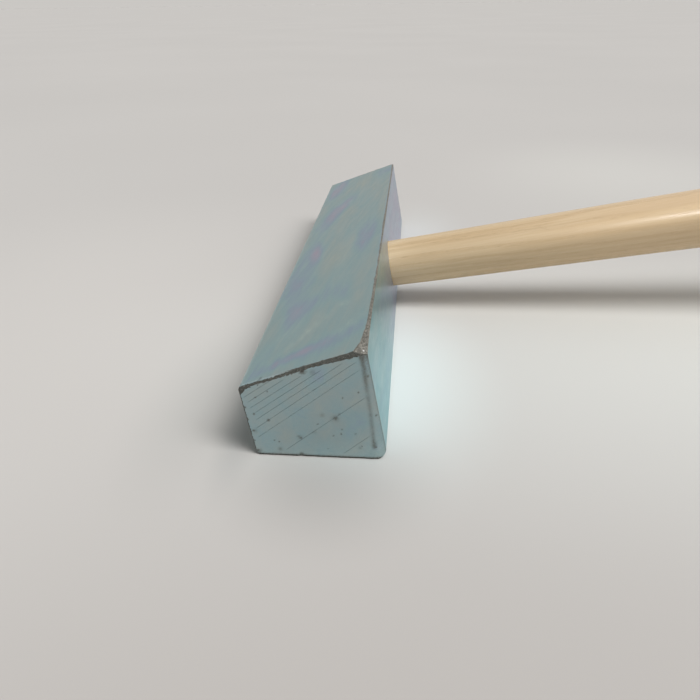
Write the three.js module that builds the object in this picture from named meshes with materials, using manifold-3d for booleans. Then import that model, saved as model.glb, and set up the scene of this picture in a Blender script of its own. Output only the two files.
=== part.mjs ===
// Glazier hammer: a steel bar of trapezoid section on a turned ash handle, held by a wedged tenon.
// Millimetres, +Z up. The hammer lies on one of its two slanting glide faces. The origin is the middle
// of that face, +X runs towards the handle and +Y runs along the bar.
import * as THREE from "three";
import { mergeVertices } from "three/addons/utils/BufferGeometryUtils.js";
import Module from "manifold-3d";

// Bar
const barLength = 160;
const barDepth = 26; // from the wide face, which takes the handle, to the nose face
const wideFaceWidth = 25;
const noseFaceWidth = 16;
const wideLowerEdgeRadius = 1.9;
const wideUpperEdgeRadius = 0.4;
const noseUpperEdgeRadius = 1.5;
const noseLowerEdgeRadius = 2;

// Bevels round both sawn ends: how far each one reaches in over the end face
const endUpperBevel = 0.8;
const endNoseBevel = 0.3;
const endLowerBevel = 0.3;
const endWideBevelAbove = 1.2;
const endWideBevelBelow = 2.2;
const shallowBevelRunShare = 0.35; // length along the bar against reach over the end face
const evenBevelRunShare = 1;

// Grinding marks at the near end, on the long edge between the wide face and the upper glide face
const edgeGrindReach = 55;
const edgeGrindOnUpperFace = 1.1;
const edgeGrindOnWideFace = 0.8;
const cornerGrindReach = 10;
const cornerGrindOnUpperFace = 2.8;
const cornerGrindOnWideFace = 1.6;

// Eye and tenon. The eye narrows to a waist and flares again towards the nose face
const fitGap = 0.3;
const neckRadius = 6.6; // the handle where it enters the wide face
const eyeMouthBevel = 0.3;
const tenonWaistFromNoseFace = 9;
const tenonWaistRadius = 5;
const tenonEndRadius = 5.4;
const tenonProud = 0.4; // how far the tenon stands out of the nose face

// Handle, stretch by stretch from the wide face
const shaftLength = 110;
const shaftEndRadius = 8.4;
const swellLength = 85;
const bellyRadius = 9.4;
const gripLength = 46;
const buttRadius = 8.9;
const buttRounding = 9;
const buttShoulderShare = 0.85; // share of the rounding where the side leaves the butt's radius
const buttDomeShare = 0.7; // share of the butt's radius where the end turns square to the axis

// Wedges, driven in from the nose face
const steelWedge = { length: 12, buttThickness: 1.9, tipThickness: 0.5 };
const steelWedgeWidth = 8;
const woodWedgePastSteel = 5; // how much deeper the wood wedge reaches than the steel one
const woodWedge = {
  length: steelWedge.length + woodWedgePastSteel,
  buttThickness: 2.6,
  tipThickness: 0.8,
};

const overrun = 5; // how far a cutting shape runs past what it cuts
const arcSteps = 4;
const profileSteps = 6;
const turnSteps = 48;

const wasm = await Module();
wasm.setup();

const along = new THREE.Vector3(0, 1, 0); // along the bar
const up = new THREE.Vector3(0, 0, 1);

// A closed geometry as a solid that can be cut.
function solidFrom(geometry) {
  const bare = geometry.clone();
  bare.deleteAttribute("normal");
  bare.deleteAttribute("uv");
  const merged = mergeVertices(bare);
  const corners = merged.index.array;
  const kept = [];
  for (let i = 0; i < corners.length; i += 3) {
    const [a, b, c] = corners.subarray(i, i + 3);
    if (a !== b && b !== c && c !== a) kept.push(a, b, c);
  }
  const vertProperties = merged.attributes.position.array;
  const triVerts = new Uint32Array(kept);
  return new wasm.Manifold(new wasm.Mesh({ numProp: 3, vertProperties, triVerts }));
}

// A cut solid as a named mesh with flat facets.
function meshFrom(solid, name, material) {
  const { vertProperties, triVerts } = solid.getMesh();
  const geometry = new THREE.BufferGeometry();
  geometry.setAttribute("position", new THREE.BufferAttribute(vertProperties, 3));
  geometry.setIndex(new THREE.BufferAttribute(triVerts, 1));
  const faceted = geometry.toNonIndexed();
  faceted.computeVertexNormals();
  const mesh = new THREE.Mesh(faceted, material);
  mesh.name = name;
  return mesh;
}

// The bar's own frame: x runs out of the wide face along the handle, y along the bar, and z across the
// section, so that the section is the same above and below.
const wideLower = new THREE.Vector2(0, -wideFaceWidth / 2);
const wideUpper = new THREE.Vector2(0, wideFaceWidth / 2);
const noseUpper = new THREE.Vector2(-barDepth, noseFaceWidth / 2);
const noseLower = new THREE.Vector2(-barDepth, -noseFaceWidth / 2);
const glideSlope = Math.atan2(wideUpper.y - noseUpper.y, barDepth);

// A closed outline, anticlockwise, with each corner rounded by its own radius.
function roundedOutline(corners) {
  const shape = new THREE.Shape();
  corners.forEach(({ point, radius }, i) => {
    const before = corners.at(i - 1).point.clone().sub(point).normalize();
    const after = corners[(i + 1) % corners.length].point.clone().sub(point).normalize();
    const halfAngle = Math.acos(before.dot(after)) / 2;
    const inward = before.clone().add(after).normalize();
    const centre = point.clone().addScaledVector(inward, radius / Math.sin(halfAngle));
    const reach = radius / Math.tan(halfAngle);
    const start = point.clone().addScaledVector(before, reach).sub(centre);
    const end = point.clone().addScaledVector(after, reach).sub(centre);
    shape.absarc(centre.x, centre.y, radius, start.angle(), end.angle(), false);
  });
  return shape;
}

// An outline in the bar's x and z, swept along y and centred on it.
function sweptAlongBar(shape, length) {
  const geometry = new THREE.ExtrudeGeometry(shape, {
    depth: length,
    bevelEnabled: false,
    curveSegments: arcSteps,
  });
  return geometry.translate(0, 0, -length / 2).rotateX(Math.PI / 2);
}

// A block with one face on the plane through three points, on the side away from the bar's middle.
function cutBeyond(a, b, c) {
  const plane = new THREE.Plane().setFromCoplanarPoints(a, b, c);
  if (plane.distanceToPoint(new THREE.Vector3(-barDepth / 2, 0, 0)) > 0) plane.negate();
  const turn = new THREE.Quaternion().setFromUnitVectors(up, plane.normal);
  const block = new THREE.BoxGeometry(barLength, barLength, barLength);
  block.translate(0, 0, barLength / 2).applyQuaternion(turn).translate(a.x, a.y, a.z);
  return solidFrom(block);
}

// The bevel on one edge of an end face, which may widen from one corner to the other.
function endBevel(side, from, to, reachFrom, reachTo, runShare) {
  const end = (side * barLength) / 2;
  const edge = to.clone().sub(from).normalize();
  const inward = new THREE.Vector2(-edge.y, edge.x);
  const onEndFace = (corner, reach) => {
    const point = corner.clone().addScaledVector(inward, reach);
    return new THREE.Vector3(point.x, end, point.y);
  };
  const onLongFace = new THREE.Vector3(from.x, end - side * reachFrom * runShare, from.y);
  return cutBeyond(onEndFace(from, reachFrom), onEndFace(to, reachTo), onLongFace);
}

// A flat ground on the long upper edge at the near end, from what it takes off each of the three edges
// that meet in the corner there.
function cornerGrind(onUpperFace, onWideFace, reach) {
  const corner = new THREE.Vector3(wideUpper.x, -barLength / 2, wideUpper.y);
  const downUpperFace = noseUpper.clone().sub(wideUpper).normalize();
  const acrossUpperFace = new THREE.Vector3(downUpperFace.x, 0, downUpperFace.y);
  return cutBeyond(
    corner.clone().addScaledVector(acrossUpperFace, onUpperFace),
    corner.clone().addScaledVector(up, -onWideFace),
    corner.clone().addScaledVector(along, reach),
  );
}

// A station on a turned profile: its place on the axis, its radius, and how fast the radius grows there.
const tenonEndAt = -barDepth - tenonProud;
const tenonWaistAt = -barDepth + tenonWaistFromNoseFace;
const tenonFlare = (tenonWaistRadius - tenonEndRadius) / (tenonWaistAt - tenonEndAt);
const shaftTaper = (shaftEndRadius - neckRadius) / shaftLength;
const tenonEnd = { at: tenonEndAt, radius: tenonEndRadius, slope: tenonFlare };
const tenonWaist = { at: tenonWaistAt, radius: tenonWaistRadius, slope: 0 };
const neck = { at: 0, radius: neckRadius, slope: shaftTaper };
const shaftEnd = { at: shaftLength, radius: shaftEndRadius, slope: shaftTaper };
const belly = { at: shaftEnd.at + swellLength, radius: bellyRadius, slope: 0 };
const butt = { at: belly.at + gripLength, radius: buttRadius, slope: 0 };
const handleReach = butt.at + buttRounding;

// The smooth stretch of a turned profile between two stations, as points of radius and place.
function turnedStretch(from, to) {
  const third = (to.at - from.at) / 3;
  const curve = new THREE.CubicBezierCurve(
    new THREE.Vector2(from.radius, from.at),
    new THREE.Vector2(from.radius + from.slope * third, from.at + third),
    new THREE.Vector2(to.radius - to.slope * third, to.at - third),
    new THREE.Vector2(to.radius, to.at),
  );
  return curve.getPoints(profileSteps);
}

// A profile of radius and place, turned about the bar's x axis.
function turned(profile) {
  return solidFrom(new THREE.LatheGeometry(profile, turnSteps).rotateZ(-Math.PI / 2));
}

const tenonProfile = [
  ...turnedStretch(tenonEnd, tenonWaist),
  ...turnedStretch(tenonWaist, neck).slice(1),
];

// The eye follows the tenon with the fit gap all round, and its mouth is broken with a small bevel.
function makeEye() {
  const wall = tenonProfile.map((point) => new THREE.Vector2(point.x + fitGap, point.y)).slice(0, -1);
  const noseEnd = wall[0].x;
  const mouth = neckRadius + fitGap;
  return turned([
    new THREE.Vector2(0, tenonEndAt - overrun),
    new THREE.Vector2(noseEnd, tenonEndAt - overrun),
    ...wall,
    new THREE.Vector2(mouth, -eyeMouthBevel),
    new THREE.Vector2(mouth + eyeMouthBevel, 0),
    new THREE.Vector2(mouth + eyeMouthBevel, overrun),
    new THREE.Vector2(0, overrun),
  ]);
}

function makeHead() {
  const outline = roundedOutline([
    { point: wideLower, radius: wideLowerEdgeRadius },
    { point: wideUpper, radius: wideUpperEdgeRadius },
    { point: noseUpper, radius: noseUpperEdgeRadius },
    { point: noseLower, radius: noseLowerEdgeRadius },
  ]);
  let head = solidFrom(sweptAlongBar(outline, barLength));
  for (const side of [-1, 1]) {
    head = head
      .subtract(endBevel(side, wideUpper, noseUpper, endUpperBevel, endUpperBevel, shallowBevelRunShare))
      .subtract(endBevel(side, noseUpper, noseLower, endNoseBevel, endNoseBevel, evenBevelRunShare))
      .subtract(endBevel(side, noseLower, wideLower, endLowerBevel, endLowerBevel, evenBevelRunShare))
      .subtract(
        endBevel(side, wideLower, wideUpper, endWideBevelBelow, endWideBevelAbove, shallowBevelRunShare),
      );
  }
  return head
    .subtract(cornerGrind(edgeGrindOnUpperFace, edgeGrindOnWideFace, edgeGrindReach))
    .subtract(cornerGrind(cornerGrindOnUpperFace, cornerGrindOnWideFace, cornerGrindReach))
    .subtract(makeEye());
}

// The handle before its tenon is slotted: tenon, straight taper, belly and domed butt.
function makeTurnedHandle() {
  const dome = new THREE.CubicBezierCurve(
    new THREE.Vector2(butt.radius, butt.at),
    new THREE.Vector2(butt.radius, butt.at + buttRounding * buttShoulderShare),
    new THREE.Vector2(butt.radius * buttDomeShare, handleReach),
    new THREE.Vector2(0, handleReach),
  );
  return turned([
    new THREE.Vector2(0, tenonEndAt),
    ...tenonProfile,
    ...turnedStretch(neck, shaftEnd).slice(1),
    ...turnedStretch(shaftEnd, belly).slice(1),
    ...turnedStretch(belly, butt).slice(1),
    ...dome.getPoints(2 * profileSteps).slice(1),
  ]);
}

// A tapered blade that reaches past the tenon's end, or, with spare, the slot that such a blade sits in.
// Its thickness runs along z and its width along y.
function blade({ length, buttThickness, tipThickness }, width, spare) {
  const tip = tenonEndAt + length + spare;
  const buttHalf = buttThickness / 2 + spare;
  const tipHalf = tipThickness / 2 + spare;
  const shape = new THREE.Shape([
    new THREE.Vector2(tenonEndAt - overrun, -buttHalf),
    new THREE.Vector2(tenonEndAt, -buttHalf),
    new THREE.Vector2(tip, -tipHalf),
    new THREE.Vector2(tip, tipHalf),
    new THREE.Vector2(tenonEndAt, buttHalf),
    new THREE.Vector2(tenonEndAt - overrun, buttHalf),
  ]);
  return sweptAlongBar(shape, width + 2 * spare);
}

const acrossTenon = 2 * (tenonEndRadius + overrun);

// The wood wedge lies along the bar and ends flush with the tenon on every side.
const woodBlade = (spare) => solidFrom(blade(woodWedge, acrossTenon, spare));

// The steel wedge is driven across the wood wedge.
const steelBlade = (spare) => solidFrom(blade(steelWedge, steelWedgeWidth, spare).rotateX(Math.PI / 2));

const turnedHandle = makeTurnedHandle();

const zincPlatedSteel = new THREE.MeshStandardMaterial({ color: 0x8fa2a6, roughness: 0.42, metalness: 0.9 });
const ash = new THREE.MeshStandardMaterial({ color: 0xd9bf94, roughness: 0.6, metalness: 0 });
const wedgeWood = new THREE.MeshStandardMaterial({ color: 0xb98c5a, roughness: 0.7, metalness: 0 });
const wedgeSteel = new THREE.MeshStandardMaterial({ color: 0x7d7f80, roughness: 0.5, metalness: 1 });

const head = meshFrom(makeHead(), "head", zincPlatedSteel);
const handle = meshFrom(
  turnedHandle.subtract(woodBlade(fitGap)).subtract(steelBlade(fitGap)),
  "handle",
  ash,
);
const woodWedgeMesh = meshFrom(
  woodBlade(0).intersect(turnedHandle).subtract(steelBlade(fitGap)),
  "wood_wedge",
  wedgeWood,
);
const steelWedgeMesh = meshFrom(steelBlade(0).intersect(turnedHandle), "steel_wedge", wedgeSteel);

// The wedges sit in the tenon, so they are grouped with the handle.
const wedgedHandle = new THREE.Group();
wedgedHandle.add(handle, woodWedgeMesh, steelWedgeMesh);

// The upright hammer is tipped by its slope onto the lower glide face.
const glazierHammer = new THREE.Group();
glazierHammer.add(head, wedgedHandle);
glazierHammer.rotation.y = -glideSlope;
const glideFaceMiddle = new THREE.Vector3(
  (wideLower.x + noseLower.x) / 2,
  0,
  (wideLower.y + noseLower.y) / 2,
);
glazierHammer.position.copy(glideFaceMiddle).applyEuler(glazierHammer.rotation).negate();

const part = new THREE.Group();
part.add(glazierHammer);

export default part;
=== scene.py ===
"""Glazier hammer: a zinc plated steel bar on a turned ash handle, held by a wedged tenon.

Run as a script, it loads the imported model, builds detailed surfaces in place of its bar and its handle,
gives the two wedges their finishes, and sets the stage. The bar's own frame has x running out of the wide
face along the handle, y along the bar and z across its section, in millimetres. placed() tips it onto the
glide face, in metres.
"""

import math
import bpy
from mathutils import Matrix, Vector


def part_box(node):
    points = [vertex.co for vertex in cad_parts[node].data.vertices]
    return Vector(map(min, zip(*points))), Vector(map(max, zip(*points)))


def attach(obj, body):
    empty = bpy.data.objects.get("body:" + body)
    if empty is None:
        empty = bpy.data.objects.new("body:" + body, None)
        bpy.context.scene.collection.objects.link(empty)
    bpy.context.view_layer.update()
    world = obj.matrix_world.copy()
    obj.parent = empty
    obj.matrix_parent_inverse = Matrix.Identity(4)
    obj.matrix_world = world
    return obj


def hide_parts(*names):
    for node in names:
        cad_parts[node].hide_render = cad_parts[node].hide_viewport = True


bl_info = {
    "name": "Glazier Hammer",
    "version": (1, 0, 0),
    "blender": (4, 5, 0),
    "location": "3D View > Sidebar > Hammer",
    "description": "Builds a glazier hammer with a zinc plated steel bar and an ash handle",
    "category": "Object",
}

import bpy
import numpy as np
from mathutils import Quaternion, Vector

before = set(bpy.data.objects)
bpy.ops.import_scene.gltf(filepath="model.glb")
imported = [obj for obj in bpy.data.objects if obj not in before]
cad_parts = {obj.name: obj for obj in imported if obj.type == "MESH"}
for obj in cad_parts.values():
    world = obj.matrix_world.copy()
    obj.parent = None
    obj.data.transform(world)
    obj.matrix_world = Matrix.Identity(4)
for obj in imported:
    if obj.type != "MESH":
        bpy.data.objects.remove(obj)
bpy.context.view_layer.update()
head_low, head_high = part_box("head")


# Sizes and colours


def length_setting(name, description, default):
    """A length that a user may change, in metres."""
    return bpy.props.FloatProperty(name=name, description=description, default=default, unit="LENGTH")


def angle_setting(name, description, degrees):
    """An angle that a user may change."""
    angle = math.radians(degrees)
    return bpy.props.FloatProperty(name=name, description=description, default=angle, subtype="ANGLE")


def number_setting(name, description, default):
    """A strength or a share that a user may change."""
    return bpy.props.FloatProperty(name=name, description=description, default=default)


def vector_setting(name, description, default, subtype):
    """A direction, a place or a turn that a user may change."""
    return bpy.props.FloatVectorProperty(name=name, description=description, default=default, subtype=subtype)


def colour_setting(name, description, default):
    """A colour that a user may change."""
    return vector_setting(name, description, default, "COLOR")


class BarSizes(bpy.types.PropertyGroup):
    """Sizes of the steel bar."""

    length: length_setting("Length", "Length of the bar from end to end", head_high.y - head_low.y)
    depth: length_setting("Depth", "From the wide face, which takes the handle, to the nose face", 0.026)
    wide_face: length_setting("Wide face", "Width of the face that takes the handle", 0.025)
    nose_face: length_setting("Nose face", "Width of the narrow face opposite the handle", 0.016)
    nose_lower_radius: length_setting(
        "Nose lower radius", "Rounding of the edge between the nose face and the lower glide face", 0.002
    )
    wide_lower_radius: length_setting(
        "Wide lower radius", "Rounding of the edge between the wide face and the lower glide face", 0.0019
    )
    wide_upper_radius: length_setting(
        "Wide upper radius", "Rounding of the edge between the wide face and the upper glide face", 0.0004
    )
    nose_upper_radius: length_setting(
        "Nose upper radius", "Rounding of the edge between the nose face and the upper glide face", 0.0015
    )
    end_edge_radius: length_setting("End edge radius", "Rounding of the edges of the two sawn ends", 0.00016)
    edge_grind_reach: length_setting(
        "Edge grind reach", "How far the ground flat on the upper long edge runs along the bar", 0.055
    )
    corner_grind_reach: length_setting(
        "Corner grind reach", "How far the steeper flat on the corner runs along the bar", 0.0075
    )


class HandleSizes(bpy.types.PropertyGroup):
    """Sizes of the turned handle and its tenon."""

    neck_radius: length_setting("Neck radius", "Radius where the handle enters the wide face", 0.0066)
    shaft_length: length_setting("Shaft length", "Length of the straight taper from the wide face", 0.110)
    shaft_end_radius: length_setting("Shaft end radius", "Radius at the end of the straight taper", 0.0084)
    swell_length: length_setting("Swell length", "From the end of the taper to the thickest place", 0.085)
    belly_radius: length_setting("Belly radius", "Radius of the handle where it is thickest", 0.0094)
    grip_length: length_setting("Grip length", "From the thickest place to the rounding of the butt", 0.046)
    butt_radius: length_setting("Butt radius", "Radius of the handle where the butt starts to round", 0.0089)
    butt_rounding: length_setting("Butt rounding", "Length of the rounded butt", 0.009)
    tenon_waist: length_setting("Tenon waist", "From the nose face to the thinnest place of the tenon", 0.009)
    tenon_waist_radius: length_setting("Tenon waist radius", "Radius where the tenon is thinnest", 0.005)
    tenon_end_radius: length_setting(
        "Tenon end radius", "Radius of the tenon at the nose face, where the wedges spread it", 0.0054
    )
    tenon_proud: length_setting("Tenon proud", "How far the tenon stands out of the nose face", 0.0004)
    joint_gap: length_setting("Joint gap", "Gap that shows between tenon, eye and wedges", 0.00005)


class HammerColours(bpy.types.PropertyGroup):
    """Colours of the finishes."""

    zinc: colour_setting("Zinc", "Zinc plating where its film is thin", (0.377, 0.50, 0.507))
    zinc_aqua: colour_setting("Zinc aqua", "Aqua tint of the plating", (0.333, 0.50, 0.53))
    zinc_blue: colour_setting("Zinc blue", "Bluish tint of the plating", (0.325, 0.445, 0.55))
    zinc_pink: colour_setting("Zinc pink", "Pinkish tint of the plating", (0.47, 0.42, 0.54))
    zinc_straw: colour_setting("Zinc straw", "Pale straw tint of the plating", (0.44, 0.51, 0.465))
    # The edge soil colour also colours the painted shade along the end faces' lower edge
    edge_soil: colour_setting(
        "Edge soil", "Dark soil on the torn edges and between the ground grains", (0.083, 0.086, 0.077)
    )
    ground_steel: colour_setting(
        "Ground steel", "Bare, faintly brown steel of the ground edge and corner", (0.47, 0.455, 0.405)
    )
    ash: colour_setting("Ash", "Bare ash wood between its growth rings", (0.73, 0.55, 0.335))
    ash_ring: colour_setting("Ash ring", "Open grain of the ash at each growth ring", (0.62, 0.435, 0.235))
    wedge_wood: colour_setting("Wedge wood", "Hardwood of the wedge in the tenon", (0.34, 0.19, 0.09))
    wedge_steel: colour_setting("Wedge steel", "Plain steel of the cross wedge", (0.33, 0.33, 0.33))


class StageSettings(bpy.types.PropertyGroup):
    """The floor, the light and the camera."""

    floor_colour: colour_setting("Floor", "Colour of the pale floor", (0.598, 0.578, 0.554))
    floor_radius: length_setting("Floor radius", "Radius of the round floor", 60.0)
    backdrop: colour_setting(
        "Backdrop", "Colour behind the floor, which the metal reflects too", (0.592, 0.573, 0.549)
    )
    fill_light: number_setting("Fill light", "Strength of the even light from all round", 0.32)
    fill_slant: number_setting(
        "Fill slant", "How much stronger the even light is from the fill direction, as a share", 0.85
    )
    fill_direction: vector_setting(
        "Fill direction",
        "From the hammer towards the stronger side of the even light",
        (0.42, 0.9, 0.0),
        "DIRECTION",
    )
    lamp_direction: vector_setting(
        "Lamp direction",
        "From the hammer towards the middle one of the three soft lamps",
        (0.493, -0.30, 0.858),
        "DIRECTION",
    )
    lamp_spread: angle_setting("Lamp spread", "Angle that each soft lamp fills, seen from the hammer", 29)
    lamp_distance: angle_setting(
        "Lamp distance",
        "Angle from one soft lamp to the next, all three together being as wide as a window",
        11,
    )
    lamp_strength: number_setting("Lamp strength", "Strength of each soft lamp", 0.86)
    small_lamp_direction: vector_setting(
        "Small lamp direction",
        "From the hammer towards the small lamp that draws a line of light along the handle",
        (0.24, -0.66, 0.7),
        "DIRECTION",
    )
    small_lamp_spread: angle_setting(
        "Small lamp spread", "Angle that the small lamp fills, seen from the hammer", 6
    )
    small_lamp_strength: number_setting(
        "Small lamp strength", "Strength of the small lamp, which only shows in reflections", 0.9
    )
    camera_place: vector_setting(
        "Camera place", "Where the photograph was taken from", (0.01631, -0.18976, 0.08084), "TRANSLATION"
    )
    camera_turn: vector_setting(
        "Camera turn", "How the camera is turned", (1.09705, 0.01234, 0.08757), "EULER"
    )
    camera_lens: bpy.props.FloatProperty(
        name="Camera lens",
        description="Focal length on a frame 36 mm wide",
        default=34.80,
        unit="CAMERA",
    )


def mm(length):
    """A length in metres as millimetres."""
    return length * 1000.0


# The bar's own frame


def glide_slope():
    """Slope of the glide face against the bar's own x: half the two faces' difference over the depth."""
    bar = bpy.context.scene.bar_sizes
    return math.atan2((bar.wide_face - bar.nose_face) / 2, bar.depth)


def glide_middle():
    """Middle of the glide face in the bar's own frame: half way between its two corners, in millimetres."""
    bar = bpy.context.scene.bar_sizes
    return np.array([-mm(bar.depth) / 2, 0.0, -mm(bar.wide_face + bar.nose_face) / 4])


def bar_axes():
    """The bar's own x and z on the table: x rises by the slope, and z stands square to it."""
    sine, cosine = math.sin(glide_slope()), math.cos(glide_slope())
    return np.array([cosine, 0.0, sine]), np.array([-sine, 0.0, cosine])


def placed(points):
    """Points of the bar's own frame on the table: turned about y by the slope, with the glide face's middle
    at the origin, in metres."""
    along, across = bar_axes()
    x, y, z = np.moveaxis(points - glide_middle(), -1, 0)
    return (x[..., None] * along + y[..., None] * [0.0, 1.0, 0.0] + z[..., None] * across) / 1000.0


def unplaced(points):
    """The inverse of placed(): table points in metres back in the bar's own frame."""
    along, across = bar_axes()
    scaled = points * 1000.0
    return np.stack([scaled @ along, scaled[..., 1], scaled @ across], -1) + glide_middle()


# Surfaces


def waves(points, wavelength, seed):
    """Smooth noise, mostly between -1 and 1: the sum of 20 sine waves of about one wavelength, each with its
    own direction and phase, over the square root of their number."""
    count = 20
    random = np.random.default_rng(seed)
    directions = random.normal(size=(count, points.shape[-1]))
    directions /= np.linalg.norm(directions, axis=1, keepdims=True)
    directions *= random.uniform(0.6, 1.5, (count, 1)) * 2 * np.pi / wavelength
    return np.sin(points @ directions.T + random.uniform(0, 2 * np.pi, count)).sum(-1) / math.sqrt(count)


def smooth_step(low, high, value):
    """0 below low, 1 above high, and 3t^2 - 2t^3 of the share t between."""
    share = np.clip((value - low) / (high - low), 0, 1)
    return share * share * (3 - 2 * share)


def make_mesh(name, points, quads, triangles=()):
    """A mesh object from points on the table, quads and triangles."""
    triangles = np.reshape(triangles, (-1, 3)).astype(int)
    corners = np.concatenate([quads.ravel(), triangles.ravel()])
    starts = np.concatenate([np.arange(len(quads)) * 4, len(quads) * 4 + np.arange(len(triangles)) * 3])
    mesh = bpy.data.meshes.new(name)
    mesh.vertices.add(len(points))
    mesh.vertices.foreach_set("co", points.ravel().astype(np.float32))
    mesh.loops.add(len(corners))
    mesh.loops.foreach_set("vertex_index", corners.astype(np.int32))
    mesh.polygons.add(len(starts))
    mesh.polygons.foreach_set("loop_start", starts.astype(np.int32))
    mesh.update(calc_edges=True)
    mesh.validate()
    piece = bpy.data.objects.new(name, mesh)
    bpy.context.scene.collection.objects.link(piece)
    return piece


def mesh_points(piece):
    """The points of a mesh object as one array."""
    points = np.empty(len(piece.data.vertices) * 3, np.float32)
    piece.data.vertices.foreach_get("co", points)
    return points.reshape(-1, 3).astype(float)


def set_attribute(piece, name, values):
    """One number for each point of a mesh, under a name that a material can read."""
    attribute = piece.data.attributes.new(name, "FLOAT", "POINT")
    attribute.data.foreach_set("value", values.astype(np.float32))


def shade(piece, sharp_angle):
    """Smooth shading, with edges sharper than an angle in degrees left sharp."""
    piece.data.polygons.foreach_set("use_smooth", np.ones(len(piece.data.polygons), bool))
    piece.data.set_sharp_from_angle(angle=math.radians(sharp_angle))


def cut(piece, cutter):
    """Cuts a closed cutter out of a piece, applies the cut and removes the cutter."""
    modifier = piece.modifiers.new("cut", "BOOLEAN")
    modifier.operation = "DIFFERENCE"
    modifier.object = cutter
    modifier.solver = "EXACT"
    bpy.context.view_layer.update()
    result = bpy.data.meshes.new_from_object(piece.evaluated_get(bpy.context.evaluated_depsgraph_get()))
    piece.modifiers.remove(modifier)
    whole = piece.data
    piece.data = result
    bpy.data.meshes.remove(whole)
    bpy.data.objects.remove(cutter)


def give_material(piece, material):
    """Makes a material the only one of a piece."""
    piece.data.materials.clear()
    piece.data.materials.append(material)


def ring_quads(index):
    """Quads between the rows of a grid of point numbers, each row closed into a ring. When the numbers of a
    row run anticlockwise, seen from the first row's side, they face outwards, or up on a flat disc."""
    turned = np.roll(index, -1, 1)
    return np.stack([index[:-1], index[1:], turned[1:], turned[:-1]], -1).reshape(-1, 4)


def rounded_outline(corners, radii, place):
    """Points and outward normals on a closed outline of straight edges, with an arc of its own radius at
    each corner. place counts corners: 0 is the middle of the first arc, 1 the middle of the second, and the
    points between them are spread by their length along the outline."""
    before = np.roll(corners, 1, 0) - corners
    after = np.roll(corners, -1, 0) - corners
    before /= np.linalg.norm(before, axis=1, keepdims=True)
    after /= np.linalg.norm(after, axis=1, keepdims=True)
    half = np.arccos((before * after).sum(1)) / 2
    inward = before + after
    inward /= np.linalg.norm(inward, axis=1, keepdims=True)
    centres = corners + inward * (radii / np.sin(half))[:, None]
    middle = np.unwrap(np.arctan2(-inward[:, 1], -inward[:, 0]))
    per_arc = 41
    steps = np.linspace(-1, 1, per_arc)
    angles = middle[:, None] + (np.pi / 2 - half)[:, None] * steps
    facing = np.stack([np.cos(angles), np.sin(angles)], -1)
    points = (centres[:, None] + radii[:, None, None] * facing).reshape(-1, 2)
    points = np.vstack([points, points[:1]])
    angles = np.append(angles.ravel(), angles.ravel()[0] + 2 * np.pi)
    travel = np.concatenate([[0], np.cumsum(np.linalg.norm(np.diff(points, axis=0), axis=1))])
    arc_middles = travel[per_arc // 2 + per_arc * np.arange(4)]
    at = np.interp(place, np.arange(5), np.append(arc_middles, arc_middles[0] + travel[-1])) % travel[-1]
    angle = np.interp(at, travel, angles)
    point = np.stack([np.interp(at, travel, points[:, 0]), np.interp(at, travel, points[:, 1])], -1)
    return point, np.stack([np.cos(angle), np.sin(angle)], -1)


def lathe(name, profile, wobble=None):
    """A closed turned surface: profile rows of place and radius are carried once round the bar's x axis, as
    (place, radius cos a, radius sin a), and each end runs to a point on the axis."""
    columns = 144
    angle = np.arange(columns) * 2 * np.pi / columns
    at, radius = profile[1:-1, 0, None], profile[1:-1, 1, None]
    if wobble is not None:
        radius = radius + wobble(at, angle, radius)
    points = np.stack([at + 0 * angle, radius * np.cos(angle), radius * np.sin(angle)], -1)
    rows = len(profile) - 2
    index = np.arange(rows * columns).reshape(rows, columns)
    turned = np.roll(index, -1, 1)
    first, last = rows * columns, rows * columns + 1
    start_fan = np.stack([np.full(columns, first), turned[0], index[0]], -1)
    end_fan = np.stack([np.full(columns, last), index[-1], turned[-1]], -1)
    poles = [[profile[0, 0], 0, 0], [profile[-1, 0], 0, 0]]
    points = np.vstack([points.reshape(-1, 3), poles])
    quads = ring_quads(index)[:, [0, 3, 2, 1]]
    return make_mesh(name, placed(points), quads, np.vstack([start_fan, end_fan]))


def bezier(a, b, c, d, count):
    """Points on the cubic Bezier curve of four points, at even shares."""
    share = np.linspace(0, 1, count)[:, None]
    rest = 1 - share
    return a * rest**3 + 3 * b * share * rest**2 + 3 * c * share**2 * rest + d * share**3


def stretch(start, end, count):
    """Rows of a turned profile between two stations of place, radius and slope: the cubic Bezier curve whose
    handles are a third of the stretch long and have the stations' slopes."""
    third = (end[0] - start[0]) / 3
    a, d = np.array(start[:2]), np.array(end[:2])
    return bezier(a, a + [third, start[2] * third], d - [third, end[2] * third], d, count)


# The bar


def section_corners():
    """The bar's section as four sharp corners, anticlockwise from the lower corner of the nose."""
    bar = bpy.context.scene.bar_sizes
    wide, nose, depth = mm(bar.wide_face) / 2, mm(bar.nose_face) / 2, mm(bar.depth)
    return np.array([[-depth, -nose], [0.0, -wide], [0.0, wide], [-depth, nose]])


def edge_distances(x, z):
    """Distances of points of the section from its upper, wide, lower and nose edge, inwards: the cross
    product of the edge's unit vector with the way from its first corner to the point."""
    corners = section_corners()
    distances = []
    for first in (2, 1, 0, 3):
        start, end = corners[first], corners[(first + 1) % 4]
        unit = (end - start) / np.linalg.norm(end - start)
        distances.append(-unit[1] * (x - start[0]) + unit[0] * (z - start[1]))
    return distances


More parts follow.
